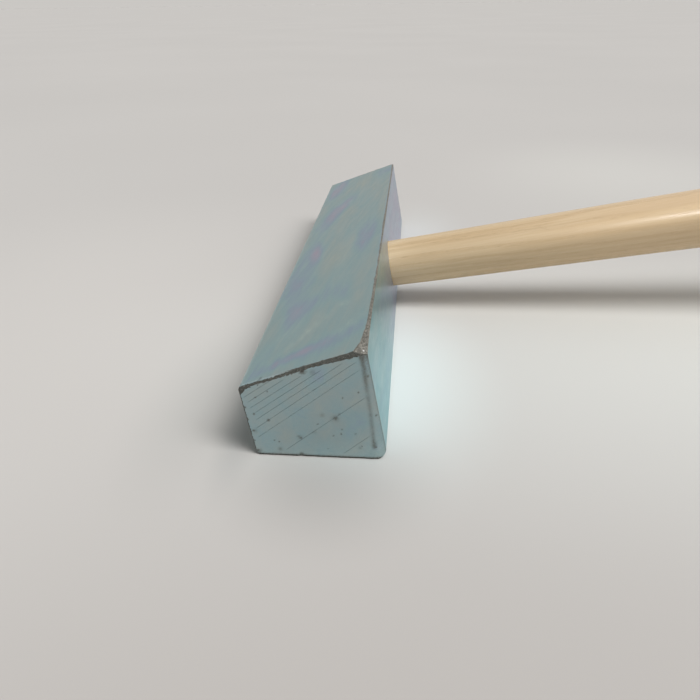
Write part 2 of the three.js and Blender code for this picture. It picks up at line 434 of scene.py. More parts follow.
# Places on the near end face, in the bar's own x and z: pits with their radius, soft brown stains with
# their radius and strength, the two ends of each line that the saw left, from the lowest line up, how deep
# the torn band along the upper edge is at each x, and how far the groove lies from the wide edge at each z.
PITS = np.array([
    [-21.7, -0.3, 0.26], [-24.2, 1.5, 0.2], [-11.2, 5.25, 0.12], [-25.2, -2.3, 0.24], [-25.5, -7.0, 0.3],
    [-21.6, -5.05, 0.15], [-20.75, -5.5, 0.15], [-16.9, -9.1, 0.42], [-16.2, -5.2, 0.24], [-16.6, -4.7, 0.16],
    [-8.5, -1.6, 0.38], [-7.6, -0.6, 0.14], [-12.2, -2.4, 0.13], [-11.2, -8.4, 0.14], [-9.6, -5.5, 0.13],
    [-8.05, -5.3, 0.14], [-7.75, -4.25, 0.12], [-3.0, 3.6, 0.15], [-6.3, 2.75, 0.13], [-5.25, -5.6, 0.13],
    [-23.0, 5.1, 0.16], [-20.4, 6.1, 0.13], [-4.5, -8.6, 0.13], [-12.75, 9.35, 0.5], [-0.6, -2.1, 0.2],
    [-0.7, 6.7, 0.24], [-1.9, -9.3, 0.26], [-14.6, -9.7, 0.14], [-25.6, 3.2, 0.2], [-25.7, 0.4, 0.18],
    [-25.6, -4.6, 0.16]
])
STAINS = np.array([
    [-20.9, -7.25, 0.45, 0.6], [-10.9, -0.5, 0.45, 0.45], [-13.2, -4.25, 0.4, 0.3], [-4.9, -9.0, 0.35, 0.4],
    [-10.8, 9.0, 0.5, 0.45], [-8.5, -1.6, 0.7, 0.5], [-16.4, -5.0, 0.5, 0.4], [-2.8, -10.9, 1.0, 0.12],
    [-2.0, -8.6, 0.6, 0.4], [-0.6, 11.3, 1.0, 0.8], [-25.2, -7.2, 0.6, 0.5], [-24.9, -2.4, 0.5, 0.4]
])
SAW_LINES = np.array([
    [-8.39, -9.86, -2.64, -6.48], [-19.72, -7.56, -1.95, 2.29], [-24.78, -3.97, -2.02, 8.31],
    [-24.63, -1.85, -2.33, 10.04], [-24.11, 0.09, -4.94, 10.14], [-24.02, 1.67, -9.13, 9.28],
    [-24.73, 2.84, -13.14, 8.57], [-24.8, 4.23, -16.62, 8.25]
])
BAND_DEPTH = np.array([
    [-26, 1.8], [-25.3, 1.4], [-24.5, 0.8], [-23, 0.52], [-13.3, 0.5], [-12.75, 1.1], [-12.2, 0.5],
    [-9, 0.58], [-5.75, 0.84], [-3.2, 0.95], [0, 1.1]
])
GROOVE = np.array([
    [-9.3, 2.15], [-6.8, 2.03], [-4.5, 1.8], [0.0, 1.48], [4.0, 1.37], [8.8, 1.17], [11.5, 1.35]
])

# Place of a painted glint: one grain of the ground corner painted bright, as if it caught the light, in the
# bar's own x, y and z
PAINTED_GLINT_PLACE = np.array([-0.74, -78.72, 11.54])

# Seeds of the two ends' unevenness, columns on each of the four sides of the bar, and how far the worn ends
# fade out along the sides
NEAR_END, FAR_END = 11, 31
SIDE = 132
FADE_LENGTH = 3.0

# Soft patches on the upper glide face: place across and along the bar in its own x and y, half width, half
# length, lean of the patch across per length along, and how far the film departs from its mean there or, in
# the second table, how strong the pale bloom is.
FILM_PATCHES = np.array([
    [-15.9, -74.2, 4.0, 3.6, 1.4, 0.37], [-5.0, -70.5, 5.0, 5.5, 0.8, 0.22],
    [-22.5, -72.0, 3.5, 7.0, 0.0, 0.18], [-20.0, -36.0, 3.6, 20.0, -0.045, 0.27],
    [-17.5, -52.0, 3.0, 6.0, 0.3, 0.16], [-14.5, -46.0, 2.8, 6.0, 0.0, 0.22],
    [-20.3, -8.0, 2.8, 10.0, -0.03, 0.40], [-8.0, -46.0, 2.5, 8.0, 0.0, 0.18],
    [-5.3, -6.0, 3.2, 17.0, 0.05, 0.30], [-19.6, 25.0, 3.0, 14.0, 0.12, 0.38],
    [-15.6, 39.0, 2.5, 8.0, 0.2, 0.40], [-21.3, 66.0, 3.2, 15.0, 0.1, 0.42],
    [-13.0, 60.0, 4.0, 12.0, 0.0, -0.10], [-12.0, -24.0, 4.0, 11.0, 0.0, -0.10],
    [-3.0, 72.0, 3.5, 7.0, 0.0, 0.20]
])
BLOOM_PATCHES = np.array([
    [-14.4, -64.0, 0.9, 6.5, 0.66, 1.0], [-4.6, -66.0, 1.0, 3.2, 0.84, 0.8],
    [-8.0, -54.0, 1.3, 1.8, 2.0, 0.7], [-19.0, -61.0, 1.6, 6.0, 0.5, 0.35],
    [-10.5, -20.0, 2.0, 14.0, 0.1, 0.3]
])


def patches(x, y, table):
    """The sum of soft patches: each is its amount times the Gaussian bell of the distance from its middle,
    measured in half widths across and half lengths along."""
    rel_y = y[:, None] - table[:, 1]
    rel_x = x[:, None] - table[:, 0] - table[:, 4] * rel_y
    return (table[:, 5] * np.exp(-((rel_x / table[:, 2]) ** 2) - (rel_y / table[:, 3]) ** 2)).sum(1)


def groove_reach(z):
    """How far the groove beside the wide edge lies from it."""
    return np.interp(z, GROOVE[:, 0], GROOVE[:, 1])


def end_relief(x, z, seed):
    """How far an end face lies behind the plane of the cut, in millimetres: the deepest of the worn bevels
    along its four edges, each a plane that starts at its reach from the edge, with the groove, the pits and a
    slight unevenness added. The two larger bevels are gentle and the two small ones run at 45 degrees."""
    flat = np.stack([x, z], -1)
    ragged = 0.5 * waves(flat, 2.3, seed) + 0.5 * waves(flat, 0.8, seed + 1)
    upper, wide, lower, nose = edge_distances(x, z)
    reach = groove_reach(z)
    slope, groove_depth, pit_depth = 0.35, 0.05, 0.35
    bevels = [
        slope * (0.66 + 0.16 * ragged - upper),
        slope * (reach + 0.06 * ragged - wide),
        0.3 + 0.06 * ragged - nose,
        0.3 + 0.08 * ragged - lower,
    ]
    depth = np.maximum.reduce([np.zeros_like(x), *bevels])
    depth = depth + groove_depth * np.exp(-(((wide - reach) / 0.3) ** 2))
    for pit_x, pit_z, radius in PITS:
        distance = np.hypot(x - pit_x, z - pit_z) * (1 + 0.25 * ragged)
        depth = depth + pit_depth * radius * np.exp(-((distance / radius) ** 2))
    return depth + 0.012 * waves(flat, 6.0, seed + 2)


def ground_flats():
    """The ground flats: reach from the near upper corner of the wide face down the upper face, down the wide
    face and along the bar, and a seed. First the long edge's, then the one between, then the corner's."""
    bar = bpy.context.scene.bar_sizes
    edge, corner = mm(bar.edge_grind_reach), mm(bar.corner_grind_reach)
    return (0.85, 0.66, edge, 7), (1.7, 1.1, 2.4 * corner, 8), (2.7, 1.5, corner, 9)


def grind(points, on_upper, on_wide, reach, seed):
    """Points beyond a ground flat are moved onto it. The flat is the plane through three points, one on each
    edge that meets in the near upper corner of the wide face, and its surface is slightly uneven. How far
    each point was beyond it is given too."""
    _, _, wide_upper, nose_upper = section_corners()
    down = (nose_upper - wide_upper) / np.linalg.norm(nose_upper - wide_upper)
    corner = np.array([wide_upper[0], -mm(bpy.context.scene.bar_sizes.length) / 2, wide_upper[1]])
    a = corner + on_upper * np.array([down[0], 0, down[1]])
    b = corner - [0, 0, on_wide]
    c = corner + [0, reach, 0]
    normal = np.cross(b - a, c - a)
    normal /= np.linalg.norm(normal)
    if normal @ (corner - a) < 0:
        normal = -normal
    beyond = (points - a) @ normal + 0.035 * waves(points, 1.6, seed) + 0.02 * waves(points, 0.6, seed + 1)
    return points - np.maximum(beyond, 0)[..., None] * normal, beyond


def bar_outline(place):
    """Points and outward normals of the rounded section at places counted in corners. A sine of the place
    draws the points together at the corners."""
    bar = bpy.context.scene.bar_sizes
    radii = (bar.nose_lower_radius, bar.wide_lower_radius, bar.wide_upper_radius, bar.nose_upper_radius)
    place = place - 0.55 * np.sin(2 * np.pi * (place % 1)) / (2 * np.pi)
    return rounded_outline(section_corners(), np.array([mm(radius) for radius in radii]), place)


def end_grid():
    """For each point of the square grid of an end face, its place on the outline and its share of the way
    there from the middle. A grid point at (s, t) lies in the direction of the outline point, and its share
    grows with max(|s|, |t|), faster near the middle."""
    s, t = np.meshgrid(np.linspace(-1, 1, SIDE + 1), np.linspace(-1, 1, SIDE + 1), indexing="ij")
    share = np.maximum(np.abs(s), np.abs(t))
    safe = np.maximum(share, 1e-9)
    u, v = s / safe, t / safe
    place = np.select(
        [v <= -1 + 1e-9, u >= 1 - 1e-9, v >= 1 - 1e-9],
        [(u + 1) / 2, 1 + (v + 1) / 2, 2 + (1 - u) / 2],
        3 + (1 - v) / 2,
    )
    return place % 4, share + 0.5 * np.sin(np.pi * share) / np.pi


def bar_surface():
    """The bar as a closed surface. The sides are the rounded section carried along y in rows that are close
    together at the ends, and turn into each end on a quarter circle. Each end face is a square grid whose rim
    is the last row of the sides: middle + share (rim point - middle)."""
    bar = bpy.context.scene.bar_sizes
    half_length, round_radius = mm(bar.length) / 2, mm(bar.end_edge_radius)
    turn = np.linspace(0, np.pi / 2, 5)
    # Rows by their distance from each end, wider apart the further in
    near = np.concatenate([np.arange(0.3, 2, 0.17), np.arange(2, 12, 0.42), np.arange(12, 60, 2.4)])
    far = np.concatenate([np.arange(0.3, 2, 0.2), np.arange(2, 12, 0.9), np.arange(12, 40, 4)])
    middle_rows = np.arange(60, 2 * half_length - 40, 4)
    from_near = np.concatenate([round_radius * (1 - np.cos(turn)), near, middle_rows])
    from_far = np.concatenate([round_radius * (1 - np.cos(turn)), far])[::-1]
    turned_in = round_radius * (1 - np.sin(turn))
    inset = np.concatenate([turned_in, np.zeros(len(near) + len(middle_rows) + len(far)), turned_in[::-1]])

    edge, facing = bar_outline(np.arange(4 * SIDE) / SIDE)
    section = edge - inset[:, None, None] * facing
    rim_x, rim_z = (edge - round_radius * facing).T
    near_depth = end_relief(rim_x, rim_z, NEAR_END) * np.clip(1 - from_near / FADE_LENGTH, 0, 1)[:, None]
    far_depth = end_relief(rim_x, rim_z, FAR_END) * np.clip(1 - from_far / FADE_LENGTH, 0, 1)[:, None]
    near_y = from_near[:, None] - half_length + near_depth
    far_y = half_length - from_far[:, None] - far_depth
    y = np.vstack([near_y, far_y])
    index = np.arange(y.size).reshape(y.shape)
    points = [np.stack([section[..., 0], y, section[..., 1]], -1).reshape(-1, 3)]
    quads = [ring_quads(index)]

    place, share = end_grid()
    rim, facing = bar_outline(place)
    middle = section_corners().mean(0)
    inner = (middle + share[..., None] * (rim - round_radius * facing - middle))[1:-1, 1:-1]
    for ring, seed, sign in ((index[0], NEAR_END, -1), (index[-1], FAR_END, 1)):
        numbers = np.empty((SIDE + 1, SIDE + 1), int)
        numbers[:, 0] = ring[: SIDE + 1]
        numbers[SIDE, :] = ring[SIDE : 2 * SIDE + 1]
        numbers[::-1, SIDE] = ring[2 * SIDE : 3 * SIDE + 1]
        numbers[0, ::-1] = np.append(ring[3 * SIDE :], ring[0])
        start = sum(len(p) for p in points)
        numbers[1:-1, 1:-1] = start + np.arange((SIDE - 1) ** 2).reshape(SIDE - 1, SIDE - 1)
        inner_y = sign * (half_length - end_relief(inner[..., 0], inner[..., 1], seed))
        points.append(np.stack([inner[..., 0], inner_y, inner[..., 1]], -1).reshape(-1, 3))
        low, high = numbers[:-1], numbers[1:]
        quad = np.stack([low[:, :-1], high[:, :-1], high[:, 1:], low[:, 1:]], -1).reshape(-1, 4)
        quads.append(quad if sign < 0 else quad[:, ::-1])
    return np.vstack(points), np.vstack(quads)


def saw_attributes(x, z):
    """Where each point of an end face lies between the lines that the saw left. The phase is the number of
    the line below plus the share of the way to the next one, so a whole number is on a line. The gap is the
    distance between those two lines, and the strength is 1 beside a line and 0 past its ends."""
    start, end = SAW_LINES[:, :2], SAW_LINES[:, 2:]
    run = np.linalg.norm(end - start, axis=1)
    unit = (end - start) / run[:, None]
    rel_x, rel_z = x[:, None] - start[:, 0], z[:, None] - start[:, 1]
    across = unit[:, 0] * rel_z - unit[:, 1] * rel_x
    along = unit[:, 0] * rel_x + unit[:, 1] * rel_z
    below = np.clip((across > 0).sum(1) - 1, 0, len(SAW_LINES) - 2)
    each = np.arange(len(x))
    least_gap = 0.2
    gap = np.maximum(across[each, below] - across[each, below + 1], least_gap)
    phase = below + across[each, below] / gap
    nearest = np.argmin(np.abs(across), 1)
    travel = along[each, nearest]
    strength = smooth_step(-0.3, 0.6, travel) * smooth_step(-0.3, 0.6, run[nearest] - travel)
    return phase, gap, strength


def torn_waves(x, z):
    """The unevenness of the torn edges: two waves, about a millimetre and half of that long."""
    flat = np.stack([x, z], -1)
    return 0.5 * waves(flat, 0.9, 61) + 0.5 * waves(flat, 0.45, 62)


def end_soil_and_shade(x, z, near):
    """Dark soil and painted shade on an end face: soil on the torn band under the upper edge, the worn nose
    edge, the strip between the groove and the wide edge, and a trace everywhere, and painted shade along the
    lower edge. The far end's band is narrower."""
    torn = torn_waves(x, z)
    upper, wide, lower, nose = edge_distances(x, z)
    trace, far_band = 0.17, 0.7
    band = np.interp(x, BAND_DEPTH[:, 0], BAND_DEPTH[:, 1]) * np.where(near, 1.0, far_band)
    below_edge = upper - 0.26 * smooth_step(-8, -20, x)
    torn_band = smooth_step(0.16, -0.1, below_edge - band - 0.13 * torn)
    soil = torn_band * smooth_step(-0.12, 0.1, below_edge + 0.1 * torn)
    soil = np.maximum(soil, 0.7 * smooth_step(0.42, 0.12, nose - 0.14 * torn))
    # Painted shade along the lower edge, where the end face meets the table
    soil = np.maximum(soil, smooth_step(0.55, 0.3, lower - 0.05 * torn))
    strip = smooth_step(0.1, -0.3, wide - groove_reach(z))
    soil = np.maximum(soil, strip * (0.19 + 0.26 * smooth_step(1.0, 11.0, z)))
    return np.maximum(soil, trace)


def end_grime_and_shade(x, z):
    """Brown grime and painted shade on an end face: painted shade in the groove and along the lower edge, and
    grime on the strip beside the groove, along the wide edge, in soft stains, and in the pits and round them."""
    torn = torn_waves(x, z)
    flat = np.stack([x, z], -1)
    ragged = 0.6 * waves(flat, 1.7, 5) + 0.4 * waves(flat, 0.6, 6)
    _, wide, lower, _ = edge_distances(x, z)
    from_groove = wide - groove_reach(z)
    # Painted shade in the groove
    in_groove = 0.48 + 0.34 * smooth_step(3.0, 6.5, z) + 0.16 * smooth_step(-6.0, -8.0, z)
    in_groove = in_groove * smooth_step(-10.2, -9.3, z)
    grime = in_groove * np.exp(-((from_groove / 0.42) ** 2)) * (1 + 0.25 * ragged)
    grime = grime + (0.03 + 0.15 * smooth_step(-2, 9, z)) * smooth_step(0.1, -0.3, from_groove)
    grime = grime + 0.4 * smooth_step(0.34, 0.06, wide - 0.06 * torn)
    # Painted shade along the lower edge, where the end face meets the table
    grime = grime + 0.8 * smooth_step(0.85, 0.3, lower - 0.06 * torn)
    for stain_x, stain_z, radius, amount in STAINS:
        distance = np.hypot(x - stain_x, z - stain_z) / radius
        grime = grime + amount * np.exp(-distance * distance) * (1 + 0.3 * torn)
    for pit_x, pit_z, radius in PITS:
        distance = np.hypot(x - pit_x, z - pit_z) * (1 + 0.2 * torn)
        grime = np.maximum(grime, smooth_step(1.7 * radius, 0.5 * radius, distance))
    return np.clip(grime, 0, 1)


def bar_wear_and_painted_light(points):
    """The bar's wear, plating and painted light at each point, as named numbers from 0 to about 1. film is
    where the point lies in the plating's run of tints; bloom, sea and haze are shares of single tints; sawn
    is 1 on the end faces; the soil, the grime and the ground flats are how far each of them covers the
    plating, where soil and grime also hold painted shade along the end faces' lower edge and grime in the
    groove too; the last is a painted glint on one grain of the ground corner."""
    x, y, z = points.T
    upper, wide, _, _ = edge_distances(x, z)
    from_end = mm(bpy.context.scene.bar_sizes.length) / 2 - np.abs(y)
    near = y < 0
    behind = from_end - np.where(near, end_relief(x, z, NEAR_END), end_relief(x, z, FAR_END))
    on_end = smooth_step(0.34, 0.17, behind)
    on_upper = smooth_step(0.9, 0.2, upper)
    on_wide = smooth_step(0.9, 0.2, wide) * (1 - on_end)

    lip = smooth_step(0.42, 0.2, behind + 0.14 * torn_waves(x, z)) * smooth_step(0.5, 0.2, upper)
    lip = lip * smooth_step(0.1, 0.8, wide) * (0.3 + 0.7 * smooth_step(-19, -10, x))
    ground = smooth_step(-0.14, 0.0, np.maximum.reduce([grind(points, *flat)[1] for flat in ground_flats()]))
    worn_edge = np.hypot(x, z - section_corners()[2, 1]) - 0.1 * waves(points, 4.0, 13)

    drawn = points * [1.0, 0.2, 1.0]
    wander = 0.7 * waves(drawn, 7.0, 41)
    film = 0.35 + 0.06 * waves(drawn, 8.0, 42) + 0.035 * waves(drawn, 3.0, 43)
    film = film + on_upper * patches(x + wander, y + wander, FILM_PATCHES)
    wide_film = 0.50 + 0.26 * smooth_step(-45, 15, y) - 0.08 * smooth_step(4, 12, z)
    wide_film = wide_film + 0.06 * waves(drawn, 5.0, 44)
    film = film + on_wide * (wide_film - film)
    film = film + on_end * (0.38 + 0.08 * waves(points, 6.0, 45) - film)
    pale_foot = 0.3 * smooth_step(-5, -10.5, z)
    pale_foot = pale_foot + 0.3 * np.exp(-(((x + 1.2) / 1.6) ** 2) - ((z + 9.6) / 2.2) ** 2)
    return {
        "film": film,
        "bloom": on_upper * patches(x + 0.5 * wander, y, BLOOM_PATCHES) + on_end * pale_foot,
        "sea": on_wide * smooth_step(-10, -66, y) * (1 + 0.25 * waves(drawn, 4.0, 46)),
        "haze": on_wide * smooth_step(-62, -30, y),
        "sawn": on_end,
        # Soil with painted shade along the end faces' lower edge, and grime with painted shade in the groove
        # and along the lower edge
        "soil": np.maximum(end_soil_and_shade(x, z, near) * on_end, lip),
        "grime": end_grime_and_shade(x, z) * on_end,
        "ground": np.maximum(ground, 0.75 * smooth_step(0.62, 0.3, worn_edge)),
        # A painted glint: one grain painted bright
        "glint": smooth_step(0.26, 0.12, np.linalg.norm(points - PAINTED_GLINT_PLACE, axis=1)),
    }


def bar_attributes(piece):
    """Gives the bar's mesh its wear, painted shade, painted glint and the saw's lines, as numbers that the
    material reads.
    """
    points = unplaced(mesh_points(piece))
    for name, values in bar_wear_and_painted_light(points).items():
        set_attribute(piece, name, values)
    x, y, z = points.T
    phase, gap, strength = saw_attributes(x, np.where(y < 0, z, -z))
    from_end = mm(bpy.context.scene.bar_sizes.length) / 2 - np.abs(y)
    set_attribute(piece, "saw_phase", phase)
    set_attribute(piece, "saw_gap", gap)
    set_attribute(piece, "saw_strength", strength * smooth_step(1.2, 0.8, from_end))


def tenon_rows(count=24):
    """Profile rows of the tenon: from its end in to the waist, then out to the neck at the wide face."""
    bar, handle = bpy.context.scene.bar_sizes, bpy.context.scene.handle_sizes
    end_at = -mm(bar.depth) - mm(handle.tenon_proud)
    waist_at = -mm(bar.depth) + mm(handle.tenon_waist)
    end_radius, waist_radius = mm(handle.tenon_end_radius), mm(handle.tenon_waist_radius)
    taper = mm(handle.shaft_end_radius - handle.neck_radius) / mm(handle.shaft_length)
    flare = (waist_radius - end_radius) / (waist_at - end_at)
    inner = stretch((end_at, end_radius, flare), (waist_at, waist_radius, 0), count)
    outer = stretch((waist_at, waist_radius, 0), (0, mm(handle.neck_radius), taper), count)
    return np.vstack([inner, outer[1:]])


def eye_cutter():
    """The eye as a solid to cut with: the tenon's profile with the joint gap added, and a bevel at the mouth
    and at the nose face. It runs past both faces, with a little slack where each bevel starts."""
    bar, handle = bpy.context.scene.bar_sizes, bpy.context.scene.handle_sizes
    depth, gap = mm(bar.depth), mm(handle.joint_gap)
    bevel, past, slack = 0.25, 4, 0.02
    wall = tenon_rows() + [0, gap]
    wall = wall[(wall[:, 0] > -depth + bevel) & (wall[:, 0] < -bevel)]
    nose, mouth = wall[0, 1] + slack, mm(handle.neck_radius) + gap
    start = [[-past, 0], [-past, nose + bevel], [-slack, nose + bevel], [bevel - slack, nose]]
    end = [[slack - bevel, mouth], [slack, mouth + bevel], [past, mouth + bevel], [past, 0]]
    return lathe("eye_cutter", np.vstack([np.array(start) - [depth, 0], wall, end]))


# Materials


def add_node(tree, kind, inputs=None, **settings):
    """A node with its settings, and its inputs linked to sockets or set to values. A colour of three numbers
    gets full alpha."""
    node = tree.nodes.new(kind)
    for name, value in settings.items():
        setattr(node, name, value)
    for name, value in (inputs or {}).items():
        socket = node.inputs[name]
        if isinstance(value, bpy.types.NodeSocket):
            tree.links.new(value, socket)
        else:
            socket.default_value = (*value, 1.0) if socket.type == "RGBA" else value
    return node


def calculate(tree, operation, *values):
    """The result of a Math node."""
    return add_node(tree, "ShaderNodeMath", dict(enumerate(values)), operation=operation).outputs[0]


def product(tree, first, *others):
    """The product of some numbers."""
    for value in others:
        first = calculate(tree, "MULTIPLY", first, value)
    return first


def swayed(tree, value, pattern, amount):
    """A value with a pattern's distance from 0.5, times an amount, added."""
    return calculate(tree, "MULTIPLY_ADD", calculate(tree, "SUBTRACT", pattern, 0.5), amount, value)


def rise(tree, value, low, high, to_low=0.0, to_high=1.0):
    """A value taken smoothly from one range to another and held at its ends."""
    inputs = {"Value": value, "From Min": low, "From Max": high, "To Min": to_low, "To Max": to_high}
    return add_node(tree, "ShaderNodeMapRange", inputs, interpolation_type="SMOOTHSTEP").outputs[0]


def mix_colours(tree, share, first, second, blend="MIX"):
    """Two colours mixed by a share."""
    inputs = {0: share, 6: first, 7: second}
    return add_node(tree, "ShaderNodeMix", inputs, data_type="RGBA", blend_type=blend).outputs[2]


def layered(tree, base, *layers):
    """A colour with others laid over it in turn, each given as a share and a tint."""
    for share, tint in layers:
        base = mix_colours(tree, share, base, tint)
    return base


def colour_steps(tree, value, *steps):
    """A colour from a ramp of (position, colour) steps."""
    node = add_node(tree, "ShaderNodeValToRGB", {"Fac": value})
    elements = node.color_ramp.elements
    while len(elements) < len(steps):
        elements.new(1.0)
    for element, (position, tint) in zip(elements, steps):
        element.position = position
        element.color = (*tint, 1.0)
    return node.outputs["Color"]


def read_attribute(tree, name):
    """One number from the mesh."""
    return add_node(tree, "ShaderNodeAttribute", attribute_name=name).outputs["Fac"]


def bar_coordinates(tree):
    """Object coordinates in the bar's own frame, in millimetres."""
    place = add_node(tree, "ShaderNodeTexCoord").outputs["Object"]
    inputs = {
        "Vector": place,
        "Location": tuple(glide_middle()),
        "Rotation": (0.0, glide_slope(), 0.0),
        "Scale": (1000.0, 1000.0, 1000.0),
    }
    return add_node(tree, "ShaderNodeMapping", inputs).outputs[0]


def stretched(tree, vector, scale, turn=0.0):
    """Coordinates scaled along each axis after a turn about z."""
    turned = add_node(tree, "ShaderNodeMapping", {"Vector": vector, "Rotation": (0.0, 0.0, turn)}).outputs[0]
    return add_node(tree, "ShaderNodeMapping", {"Vector": turned, "Scale": scale}).outputs[0]


def noise(tree, vector, scale=1.0, detail=2.0, roughness=0.5, distortion=0.0):
    """Smooth noise from 0 to 1."""
    inputs = dict(Vector=vector, Scale=scale, Detail=detail, Roughness=roughness, Distortion=distortion)
    return add_node(tree, "ShaderNodeTexNoise", inputs).outputs[0]


def bump(tree, height, distance, strength=1.0, normal=None):
    """A normal tilted by a height. The distance is the height of 1, in metres."""
    inputs = {"Height": height, "Distance": distance, "Strength": strength}
    if normal is not None:
        inputs["Normal"] = normal
    return add_node(tree, "ShaderNodeBump", inputs).outputs[0]


def new_material(name):
    """An empty material with its shader."""
    material = bpy.data.materials.new(name)
    material.use_nodes = True
    tree = material.node_tree
    tree.nodes.clear()
    shader = add_node(tree, "ShaderNodeBsdfPrincipled")
    output = add_node(tree, "ShaderNodeOutputMaterial")
    tree.links.new(shader.outputs[0], output.inputs[0])
    return material, tree, shader


def connect(tree, shader, **sockets):
    """Links results to the shader's inputs."""
    for name, value in sockets.items():
        tree.links.new(value, shader.inputs[name.replace("_", " ")])


# Tints of the plating, the dirt, the wood, the painted shade and painted highlight on the handle, the painted
# glint, the steel wedge and the lamps' sheen that are not settings; the grime tint colours painted shade too
PALE_BLOOM, COOL_HAZE = (0.52, 0.655, 0.61), (0.50, 0.58, 0.70)
SEA_GREEN, SAWN_WARMTH = (0.20, 0.47, 0.51), (0.56, 0.40, 0.44)
GRAIN_SHADE, MOTTLE, SAW_SHADE = (0.2, 0.25, 0.27), (0.30, 0.38, 0.46), (0.10, 0.12, 0.13)
GRIME_AND_SHADE_BROWN, PALE_SOIL, PAINTED_GLINT_WHITE = (0.12, 0.112, 0.092), (0.27, 0.265, 0.235), (0.97, 0.97, 0.95)
PALE_FIBRE, DARK_FIBRE, THREAD = (0.82, 0.65, 0.42), (0.58, 0.41, 0.225), (0.50, 0.35, 0.19)
BROAD_STREAK, DARK_PORE, REDDER_WOOD = (0.66, 0.48, 0.30), (0.34, 0.21, 0.11), (0.88, 0.62, 0.38)
# Painted shade for the handle's lower side, and the tint of its painted highlight
PAINTED_LOWER_SHADE, PAINTED_HIGHLIGHT_TINT = (0.48, 0.365, 0.225), (1.0, 0.75, 0.45)
WEDGE_BAND, WEDGE_PORE, SMEAR = (0.46, 0.28, 0.14), (0.10, 0.055, 0.03), (0.16, 0.13, 0.11)
LAMP_SHEEN = (1.25, 1.25, 1.27)

# Middle of the growth rings beside the handle, in the bar's own y and z, and rings per millimetre
HEART = (-31.0, 43.0)
RINGS = 0.62


def zinc_material():
    """Zinc plated steel: satin metal under a thin iridescent film that drifts along the bar, the saw's lines
    on the end faces, bare speckled steel on the ground flats, brown grime, dark soil on torn edges, painted
    shade along the end faces' lower edge and in the groove, and a painted glint on one grain of the ground
    corner."""
    colours = bpy.context.scene.hammer_colours
    material, tree, shader = new_material("zinc_plate")
    place = bar_coordinates(tree)
    names = "film bloom haze sea sawn soil grime ground glint saw_phase saw_gap saw_strength"
    wear_and_painted_light = {name: read_attribute(tree, name) for name in names.split()}
    drift = noise(tree, stretched(tree, place, (0.5, 0.07, 0.5), 0.2), 1.0, 4.0, 0.6, 0.8)
    feather = noise(tree, stretched(tree, place, (1.1, 0.25, 1.1), 0.55), 1.0, 5.0, 0.65, 1.6)
    scratch = noise(tree, stretched(tree, place, (7.0, 0.5, 7.0), 0.25), 1.0, 2.0, 0.5)
    grain, speckle = noise(tree, place, 4.0, 3.0, 0.6), noise(tree, place, 5.5, 4.0, 0.7)
    mottle, coarse = noise(tree, place, 0.9, 3.0, 0.6), noise(tree, place, 1.6, 3.0, 0.6)

    phase = wear_and_painted_light["saw_phase"]
    off_line = calculate(tree, "SUBTRACT", phase, calculate(tree, "ROUND", phase))
    off_line = product(tree, calculate(tree, "ABSOLUTE", off_line), wear_and_painted_light["saw_gap"])
    line_wear = rise(tree, noise(tree, place, 0.7, 2.0), 0.25, 0.5, 0.45, 1.0)
    line = product(tree, rise(tree, off_line, 0.12, 0.03), line_wear, wear_and_painted_light["saw_strength"])
    plate = colour_steps(
        tree,
        swayed(tree, wear_and_painted_light["film"], drift, 0.35),
        (0.12, colours.zinc_straw),
        (0.32, colours.zinc),
        (0.47, colours.zinc_aqua),
        (0.62, colours.zinc_blue),
        (0.86, colours.zinc_pink),
        (1.0, colours.zinc_straw),
    )
    plate = layered(
        tree,
        plate,
        (product(tree, rise(tree, feather, 0.3, 0.62), wear_and_painted_light["bloom"], 0.75), PALE_BLOOM),
        (product(tree, wear_and_painted_light["haze"], 0.35), COOL_HAZE),
        (product(tree, wear_and_painted_light["sea"], 0.6), SEA_GREEN),
        (product(tree, wear_and_painted_light["sawn"], 0.1), SAWN_WARMTH),
        (rise(tree, grain, 0.3, 0.7, 0.0, 0.10), GRAIN_SHADE),
        (rise(tree, mottle, 0.35, 0.75, 0.0, 0.08), MOTTLE),
        (product(tree, line, 0.42), SAW_SHADE),
    )

    ground = rise(tree, swayed(tree, wear_and_painted_light["ground"], speckle, 0.7), 0.36, 0.68)
    ground_colour = layered(
        tree,
        colours.edge_soil,
        (rise(tree, speckle, 0.36, 0.62, 0.2, 1.0), colours.ground_steel),
        (rise(tree, coarse, 0.56, 0.38, 0.0, 0.55), colours.edge_soil),
    )
    # The grime also holds painted shade in the groove and along the end faces' lower edge
    grime = product(tree, wear_and_painted_light["grime"], rise(tree, speckle, 0.3, 0.7, 0.9, 0.6))
    # The soil also holds painted shade along the end faces' lower edge
    soil = rise(tree, swayed(tree, wear_and_painted_light["soil"], speckle, 0.9), 0.36, 0.64)
    soil_and_shade_colour = mix_colours(tree, rise(tree, speckle, 0.48, 0.68), colours.edge_soil, PALE_SOIL)
    plate = layered(
        tree,
        plate,
        (ground, ground_colour),
        (grime, GRIME_AND_SHADE_BROWN),
        (soil, soil_and_shade_colour),
        # Painted glint on one grain of the ground corner
        (wear_and_painted_light["glint"], PAINTED_GLINT_WHITE),
    )

    roughness = rise(tree, drift, 0.25, 0.75, 0.30, 0.42)
    for share, amount in ((soil, 0.35), (ground, 0.10), (wear_and_painted_light["sawn"], 0.10)):
        roughness = calculate(tree, "MULTIPLY_ADD", share, amount, roughness)
    metallic = calculate(tree, "SUBTRACT", 1.0, product(tree, soil, 0.75))
    uneven = calculate(tree, "MAXIMUM", product(tree, soil, 0.9), product(tree, ground, 0.35))
    normal = bump(tree, grain, 0.00002, 0.6)
    normal = bump(tree, scratch, 0.000008, 0.5, normal)
    normal = bump(tree, speckle, 0.00012, uneven, normal)
    normal = bump(tree, product(tree, line, -1.0), 0.00004, 0.8, normal)
    connect(tree, shader, Base_Color=plate, Roughness=roughness, Metallic=metallic, Normal=normal)
    return material


